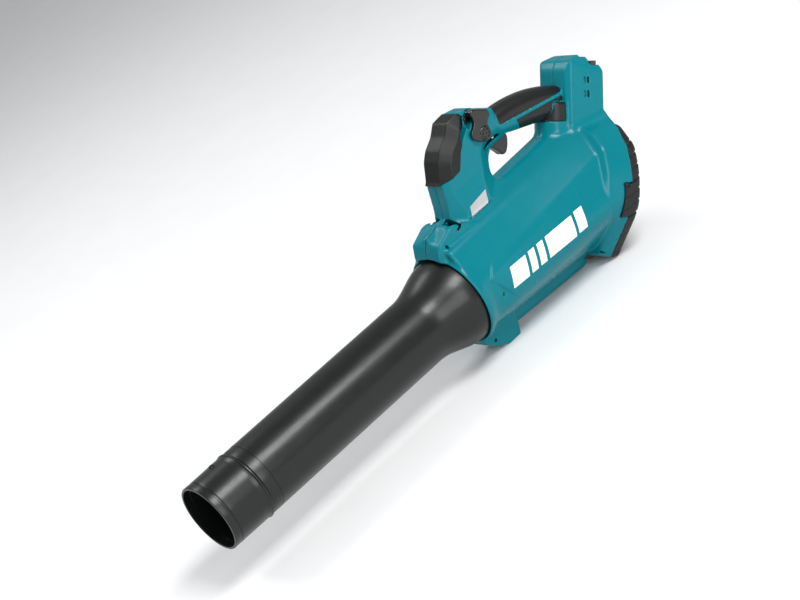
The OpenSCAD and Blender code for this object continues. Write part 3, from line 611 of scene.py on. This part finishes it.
BRASS = metal("terminal_brass", (0.72, 0.53, 0.22), 0.25, lines=300)
COPPER = metal("enamelled_copper", (0.55, 0.2, 0.08), 0.3, lines=900)
LAMINATION = metal("stacked_lamination", (0.3, 0.31, 0.32), 0.4, lines=1500)
MAGNET = metal("sintered_magnet", (0.2, 0.2, 0.21), 0.5)

CAD_FINISH = {
    "housing_screws": DARK_STEEL, "cover_screws": DARK_STEEL, "battery_rails": SEAT, "terminal_block": SEAT,
    "terminal_blades": BRASS, "controller_case": ALUMINIUM, "controller_board": BOARD, "switch_body": SEAT,
    "battery_leads": RED, "switch_leads": BLACK, "motor_leads": YELLOW, "fan_duct": DUCT,
    "duct_rubber_rings": RUBBER, "guide_vanes": DUCT, "pod_tail_cone": DUCT, "motor_end_plates": ALUMINIUM,
    "stator_core": LAMINATION, "stator_coils": COPPER, "sensor_board": BOARD, "bearing_outer_rings": STEEL,
    "bearing_balls": STEEL, "motor_shaft": STEEL, "bearing_inner_rings": STEEL, "rotor_core": LAMINATION,
    "rotor_magnets": MAGNET, "fan_impeller": FAN, "fan_nut": STEEL, "fan_spinner": FAN, "trigger": TRIGGER,
    "trigger_pin": STEEL, "trigger_spring": STEEL, "switch_plunger": SEAT, "speed_lever": LEVER,
    "lever_cap": CAP, "lever_shaft": LEVER, "lever_clip": STEEL, "speed_cam": CAM, "nozzle_tube": NOZZLE,
    "nozzle_collar": NOZZLE, "nozzle_seal": RUBBER, "housing_left": TEAL, "housing_right": TEAL,
    "front_bumper": BUMPER_RUBBER, "grip_upper_skin": GRIP_RUBBER, "grip_lower_skin": GRIP_RUBBER,
    "column_boot": GRIP_RUBBER, "intake_cover": COVER,
}


def finish(piece, material, body, slot, *nodes):
    """Gives a built piece its material and its body, and hides the CAD nodes it stands for; slot is not used.
    """
    piece.data.materials.clear()
    piece.data.materials.append(material)
    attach(piece, body)
    if nodes:
        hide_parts(*nodes)
    return piece


for node, node_material in CAD_FINISH.items():
    for material_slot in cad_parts[node].material_slots:
        material_slot.material = node_material


# ---- moulded pieces ----
SHELL_CELL, PAD_CELL = 1.15 * CELL, 0.8 * CELL
shell_left = solid("shell_left", housing(1), (-0.5, 392, FLOOR - 1), (84, 728, 190), SHELL_CELL)
finish(shell_left, TEAL, "housing", "housing", "housing_left")
shell_right = solid("shell_right", housing(-1), (-84, 392, FLOOR - 1), (0.5, 728, 190), SHELL_CELL)
finish(shell_right, TEAL, "housing", "housing", "housing_right")


def bumper(x, y, z):
    """Front guard with room for the tip of the speed lever to pass."""
    return smax(bumper_solid(x, y, z), -lever_arc(x, y, z, LEVER_SWEEP_R + 1.6)[0], 0.8)


front_guard = solid("front_guard", bumper, (-24, 440, 124), (24, 524, 192), PAD_CELL)
finish(front_guard, BUMPER_RUBBER, "housing", "bumper", "front_bumper")


def grip_skin(x, y, z, region):
    """Layer round the grip bar, 2.25 mm thick, within a region's outline."""
    d = smax(grip(x, y, z), -grip(x, y, z, 2.25), 0.6)
    d = smax(d, region(y, z, 0.18), 0.8)
    return smax(d, tilt(y, z)[0] - SKIN_FRONT_U + 0.1, 0.5)


def upper_skin(x, y, z):
    return grip_skin(x, y, z, upper_region)


def lower_skin(x, y, z):
    return smax(grip_skin(x, y, z, lower_region), -pillar(x, y, z, 22.4, 380, 430), 0.6)


def boot(x, y, z):
    """Boot round the pillar, below the grip."""
    d = pillar(x, y, z, 22.4, 404.2, 428)
    d = smax(d, -pillar(x, y, z, 19.7, 380, 440), 0.5)
    d = smax(d, -grip(x, y, z, -0.2), 0.8)
    return smax(d, tilt(y, z)[0] - SKIN_FRONT_U + 0.2, 0.5)


for name, field, lo, hi, node in (
        ("grip_pad_upper", upper_skin, (-19, 552, 100), (19, 672, 176), "grip_upper_skin"),
        ("grip_pad_lower", lower_skin, (-19, 572, 90), (19, 672, 140), "grip_lower_skin"),
        ("boot_pad", boot, (-24, 620, 78), (24, 672, 130), "column_boot")):
    finish(solid(name, field, lo, hi, PAD_CELL), GRIP_RUBBER, "housing", "soft_grip", node)


def cover_outer(x, y, z):
    """Outside of the intake cover: a shallow dome with a tab on each side."""
    ax = np.abs(x)
    u, v = tilt(y, z)
    w = v - FACE_V
    edge = outline(ax, w)
    dome = smax((edge + 4 + 3.0 * (u - 584)) / 3.2, u - 599, 4)
    d = smax(smax(edge, dome, 5), FACE_U + 0.2 - u, 0.6)
    return np.minimum(d, smax(edge, tabs(ax, u, w, 0), 1.2))


def intake_cover(x, y, z):
    """Intake cover with its louvres, the grooves beside them and its screw wells."""
    ax = np.abs(x)
    u, v = tilt(y, z)
    w = v - FACE_V
    outer = cover_outer(x, y, z)
    edge = outline(ax, w)
    inner = smax(outer + 3, FACE_U - 20 - u, 1)
    for at_x, at_w in COVER_SCREWS:
        inner = smax(inner, 6.5 - np.hypot(ax - at_x, w - at_w), 1)
    d = smax(outer, -inner, 0.5)
    mullion = np.abs((ax + LOUVRE_BAY / 2) % LOUVRE_BAY - LOUVRE_BAY / 2) - MULLION_AT
    gaps = smax(smax(slats(z, 3.1), mullion, 1.2), smax(edge + 11, 574 - u, 1), 0.8)
    for at_x, at_w in COVER_SCREWS:
        gaps = smax(gaps, 7.5 - np.hypot(ax - at_x, w - at_w), 1)
    d = smax(d, -gaps, 0.8)
    grooves = smax(slats(z, 1.3), smax(-(outer + 1.1), smax(-37 - w, w - 62, 1), 0.3), 0.5)
    grooves = smax(grooves, 48 - ax, 0.5)
    d = smax(d, -grooves, 0.5)
    for at_x, at_w in COVER_SCREWS:
        hole = np.hypot(ax - at_x, w - at_w)
        d = smax(d, -smax(hole - 4, 573.8 - u, 0.3), 0.4)
        d = smax(d, -(hole - 2), 0.2)
    return smax(d, FLOOR - z, 0.8)


intake_grille = solid("intake_grille", intake_cover, (-86, 574, FLOOR - 2), (86, 728, 82))
finish(intake_grille, COVER, "housing", "cover", "intake_cover")


# ---- turned pieces ----
def turned(name, profile, steps=160):
    """A closed profile of [radius, station] points turned about the nozzle axis."""
    profile = np.asarray(profile, float)
    turns = np.linspace(0, 2 * np.pi, steps, endpoint=False)
    points = np.stack([np.outer(np.cos(turns), profile[:, 0]), np.tile(profile[:, 1], (steps, 1)),
                       np.outer(np.sin(turns), profile[:, 0])], -1).reshape(-1, 3)
    count = len(profile)
    ring, along = np.meshgrid(np.arange(steps), np.arange(count), indexing="ij")
    after, on = (ring + 1) % steps, (along + 1) % count
    quads = np.stack([ring * count + along, after * count + along, after * count + on, ring * count + on], -1)
    made = mesh_object(name, points, quads.reshape(-1, 4))
    soften(made)
    return made


def soften(made, angle=28):
    """Smooth shading with edges sharper than angle kept."""
    mesh = made.data
    mesh.shade_smooth()
    mesh.set_sharp_from_angle(angle=math.radians(angle))


def curve(start, end, value, count):
    """Profile points from station start to end, with the radius that value gives for 0 to 1."""
    return [(value(t), start + (end - start) * t) for t in np.linspace(0, 1, count)]


def corner(r, y, size, quadrant, count=5):
    """Points of a rounded profile corner about (r, y), from angle quadrant * 90 onwards."""
    turns = np.radians(quadrant * 90 + np.linspace(0, 90, count))
    return [(r + size * math.cos(a), y + size * math.sin(a)) for a in turns]


def flare(t):
    """Radius of the nozzle where it widens towards the housing."""
    return 43.0 + 14.5 * (1 - math.cos(math.pi * t)) / 2


nozzle_profile = [
    *corner(41.1, 58.2, 1.0, 3), *[(42.2, 70), (41.75, 70.3), (41.75, 71.3), (42.2, 71.6)],
    *curve(90, 334, lambda t: 42.2 + 0.8 * t, 14), *curve(336, 401.8, flare, 22),
    *corner(56.9, 402.4, 0.6, 0), (53.8, 403), (53.8, 424), (51.5, 424), (51.5, 402),
    *curve(400, 336, lambda t: flare(1 - t) - 3.2, 18),
    *curve(334, 70, lambda t: 39.8 - 0.5 * t, 8), (37, 60), (37, 9.5), (39.2, 9.5), (39.2, 57.2)]
collar_profile = [
    (38.7, 0.7), *corner(39.2, 0.5, 0.5, 2), *corner(40.7, 0.9, 0.9, 3), (41.6, 7.6), (41.3, 8.1),
    (40.9, 8.3), (40.9, 9.7), (41.3, 9.9), (41.6, 10.4), *curve(11, 53.4, lambda t: 41.65 + 0.5 * t, 8),
    (42.3, 53.7), (42.85, 54), (43.2, 54.6), (43.2, 55.9), (42.85, 56.5), (42.3, 56.7), (39.5, 56.7),
    (39.5, 9.2), (38.7, 9.2)]
finish(turned("nozzle_body", nozzle_profile), NOZZLE, "nozzle", "nozzle", "nozzle_tube")
finish(turned("nozzle_end", collar_profile), NOZZLE, "nozzle", "nozzle", "nozzle_collar")


def lug(turn, station=36):
    """Accessory lug of the collar: a short stud with a dished head, turned round the nozzle axis."""
    profile = [(0, 42.6), (1.4, 42.7), (1.9, 43.5), (2.6, 43.9), (3.1, 43.6), (3.4, 42.9), (3.5, 41.8),
               (3.9, 41), (4.1, 40.4), (0, 40.4)]
    count, steps = len(profile), 28
    points, quads = [], []
    c, s = math.cos(turn), math.sin(turn)
    for i in range(steps):
        a = 2 * math.pi * i / steps
        for r, h in profile:
            px, py = r * math.cos(a), r * math.sin(a)
            points.append((c * h - s * px, station + py, s * h + c * px))
        for j in range(count - 1):
            k = (i + 1) % steps
            quads.append((i * count + j, i * count + j + 1, k * count + j + 1, k * count + j))
    made = mesh_object("nozzle_lug", points, quads)
    soften(made, 40)
    return made


for index, turn in enumerate((98, 278)):
    stud = lug(math.radians(turn))
    stud.name = f"nozzle_lug_{index + 1}"
    finish(stud, NOZZLE, "nozzle", "nozzle")


# ---- small pieces that refine the CAD ones ----
def cushion(name, y):
    """Rubber ring round the duct at station y, with three lobes."""
    start, wide = y - 4.5, 9
    lobes = [(56.3 + 0.7 * abs(math.cos(math.pi * t * 3)), start + wide * t) for t in np.linspace(0, 1, 25)]
    return turned(name, [(55.6, start), *lobes, (55.6, y + 4.5)], 96)


finish(cushion("duct_cushion_front", 446), RUBBER, "housing", "rubber", "duct_rubber_rings")
finish(cushion("duct_cushion_rear", 580), RUBBER, "housing", "rubber")


def sticker(name, corners, material, thick=0.14, across=26, up=12):
    """Thin print that follows the left side, from its four [station, height] corners, bottom edge first."""
    a, b, c, d = (np.array(p, float) for p in corners)
    s, t = np.meshgrid(np.linspace(0, 1, across), np.linspace(0, 1, up), indexing="ij")
    s, t = s.ravel()[:, None], t.ravel()[:, None]
    spots = (1 - s) * (1 - t) * a + s * (1 - t) * b + s * t * c + (1 - s) * t * d
    low, high = np.full(len(spots), 15.0), np.full(len(spots), 95.0)
    for _ in range(26):
        middle = (low + high) / 2
        inside = housing_outer(middle, spots[:, 0], spots[:, 1]) < 0
        low, high = np.where(inside, middle, low), np.where(inside, high, middle)
    under = np.c_[low, spots]
    out = gradient(housing_outer, under, 0.3)
    points = np.concatenate([under + out * thick, under - out * 0.35])
    quads, count = [], across * up
    for i in range(across - 1):
        for j in range(up - 1):
            k = i * up + j
            top = (k, k + up, k + up + 1, k + 1)
            quads += [top, tuple(count + v for v in reversed(top))]
    rim = [i * up for i in range(across)] + [(across - 1) * up + j for j in range(1, up)]
    rim += [i * up + up - 1 for i in range(across - 2, -1, -1)] + [j for j in range(up - 2, 0, -1)]
    for v, n in zip(rim, rim[1:] + rim[:1]):
        quads.append((n, v, count + v, count + n))
    made = mesh_object(name, points, quads)
    soften(made, 50)
    return finish(made, material, "housing", None)


# Plain slanted bars: [station, length]
SIDE_BARS = ((447, 26), (478, 10), (493, 10), (508, 46), (559, 14))
BAR_LEAN = 7
for index, (start, length) in enumerate(SIDE_BARS):
    low_z = -11 + 0.02 * (start - 447)
    high_z = 14 + 0.02 * (start - 447)
    end = start + length
    sticker(f"side_bar_{index + 1}",
            ((start, low_z), (end, low_z), (end + BAR_LEAN, high_z), (start + BAR_LEAN, high_z)), WHITE)
sticker("foot_plate", ((459, 76), (490, 79.5), (496, 94), (465, 90)), SILVER)


LEVER_SIDE = rounded([(527, 141), (518, 145), (510.5, 153), (511, 160.5), (518, 164), (523, 171),
                      (522, 181.5), (528, 182.5), (547, 170.5), (546.5, 164), (539.5, 158.5),
                      (538, 146)], 5)
THUMB_SIDE = rounded([(522.5, 176), (522.5, 182), (527, 183), (548, 171), (548.5, 165.5), (545, 164)], 2.5)


def speed_lever(x, y, z):
    """Speed lever: a flat blade on its hub, with a thumb piece at the tip."""
    hub = np.hypot(y - LEVER_AT[0], z - LEVER_AT[1])
    blade = smax(smin(poly(y, z, LEVER_SIDE), hub - 9.3, 3), np.abs(x - 23.2) - 2.2, 2.2)
    thumb = smax(poly(y, z, THUMB_SIDE), np.abs(x - 19.6) - 6, 2.5)
    d = smin(blade, thumb, 3)
    d = smin(d, smax(hub - 8.2, np.abs(x - 23.5) - 3.4, 1.2), 1)
    d = smax(d, 6.6 - hub - 20 * np.maximum(24.6 - x, 0), 0.3)
    return smax(d, 3.6 - hub, 0.3)


def hub_cap(x, y, z):
    """Cap over the hub, with a ring groove broken by six bridges and a hole in the middle."""
    hub = np.hypot(y - LEVER_AT[0], z - LEVER_AT[1])
    turn = np.arctan2(z - LEVER_AT[1], y - LEVER_AT[0])
    sector = np.abs((turn / (math.pi / 3) + 0.25) % 1 - 0.5) * hub * math.pi / 3
    d = smax(hub - 6.3, np.abs(x - 25.9) - 1.1, 0.6)
    groove = smax(np.abs(hub - 4.5) - 0.9, 0.9 - sector, 0.3)
    d = smax(d, -smax(groove, 26.1 - x, 0.2), 0.3)
    return smax(d, -smax(hub - 1.5, 26.2 - x, 0.2), 0.3)


lever_blade = solid("lever_blade", speed_lever, (12, 506, 136), (29, 552, 188), 0.7)
finish(lever_blade, LEVER, "speed_lever", "lever", "speed_lever")
lever_hub_cap = solid("lever_hub_cap", hub_cap, (24, 521, 140), (28, 539, 159), 0.4)
finish(lever_hub_cap, CAP, "speed_lever", "lever_cap", "lever_cap")


def lever_stop(x, y, z):
    """Soft block behind the lever's thumb piece."""
    d = rect(y, z, (519, 160), (534, 176.5), 4)
    return smax(d, np.abs(x - 5) - 8, 2)


stop_block = solid("lever_stop", lever_stop, (-5, 517, 158), (17, 536, 179), 0.9)
finish(stop_block, BUMPER_RUBBER, "housing", "bumper")
TRIGGER_SIDE = rounded([(540, 126), (541, 137), (547, 141), (556, 140), (571, 136), (571.5, 119),
                        (567, 110), (560.5, 103.5), (555, 103.5), (551.5, 111), (546, 119),
                        (540, 122)], 3.5)


def trigger(x, y, z):
    """Hollow trigger with the hole for its pin."""
    d = poly(y, z, TRIGGER_SIDE)
    hollow = smax(d + 2.4, 119 - z + 0.4 * (y - 560), 1)
    d = smax(d, np.abs(x) - 7.3 + 0.04 * np.maximum(125 - z, 0), 2)
    d = smax(d, -smax(hollow, np.abs(x) - 4.6, 0.8), 0.5)
    return smax(d, 2.1 - np.hypot(y - TRIGGER_AT[0], z - TRIGGER_AT[1]), 0.1)


trigger_blade = solid("trigger_blade", trigger, (-9, 536, 100), (9, 574, 143), 0.8)
finish(trigger_blade, TRIGGER, "trigger", "trigger", "trigger")


# ---- stage, light and camera ----
def stage_floor(half=15):
    mesh = bpy.data.meshes.new("floor")
    mesh.from_pydata([(-half, -half, 0), (half, -half, 0), (half, half, 0), (-half, half, 0)], [],
                     [(0, 1, 2, 3)])
    floor = bpy.data.objects.new("floor", mesh)
    bpy.context.scene.collection.objects.link(floor)
    mesh.materials.append(plastic("pale_floor", (0.82, 0.82, 0.82), 0.75, grain=0.02, mottle=0.01))
    floor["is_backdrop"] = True


def lamp(name, place, size, power, at=(0, 0.1, 0.1)):
    """Soft rectangular light that points at the tool."""
    data = bpy.data.lights.new(name, "AREA")
    data.shape, data.size, data.size_y, data.energy = "RECTANGLE", size[0], size[1], power
    made = bpy.data.objects.new(name, data)
    made.location = place
    made.rotation_euler = (Vector(at) - Vector(place)).to_track_quat("-Z", "Y").to_euler()
    bpy.context.scene.collection.objects.link(made)


CAMERA_ANGLES = (58.78, 23.92, -27.5)
CAMERA_AT = (1.5421, -0.9602, 0.9328)
CAMERA_LENS, CAMERA_SENSOR = 77.4, 36


def camera():
    """Camera with its azimuth, elevation and roll in degrees."""
    azimuth, elevation, roll = (math.radians(a) for a in CAMERA_ANGLES)
    back = Vector((math.sin(azimuth) * math.cos(elevation), -math.cos(azimuth) * math.cos(elevation),
                   math.sin(elevation)))
    right = Vector((math.cos(azimuth), math.sin(azimuth), 0))
    up = back.cross(right)
    c, s = math.cos(roll), math.sin(roll)
    right, up = c * right + s * up, c * up - s * right
    data = bpy.data.cameras.new("camera")
    data.lens, data.sensor_width = CAMERA_LENS, CAMERA_SENSOR
    made = bpy.data.objects.new("camera", data)
    turn = Matrix((right, up, back)).transposed().to_4x4()
    made.matrix_world = Matrix.Translation(CAMERA_AT) @ turn
    bpy.context.scene.collection.objects.link(made)
    bpy.context.scene.camera = made


stage_floor()
lamp("key", (1.5, 0.5, 2.4), (1.2, 0.9), 66)
lamp("side", (2.4, -0.1, 1.0), (0.9, 1.3), 24)
lamp("front", (0.6, -2.2, 0.5), (0.9, 0.6), 10)
lamp("rim", (-1.3, -0.4, 2.0), (1.6, 0.7), 22)
bpy.context.scene.view_settings.view_transform = "Standard"
world = bpy.data.worlds.new("studio")
world.use_nodes = True
sky = world.node_tree.nodes["Background"].inputs
sky["Color"].default_value = (0.95, 0.97, 1, 1)
sky["Strength"].default_value = 0.42
bpy.context.scene.world = world
camera()

shown_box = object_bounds()
[[list(corner) for corner in box] for box in (cad_box, shown_box)]
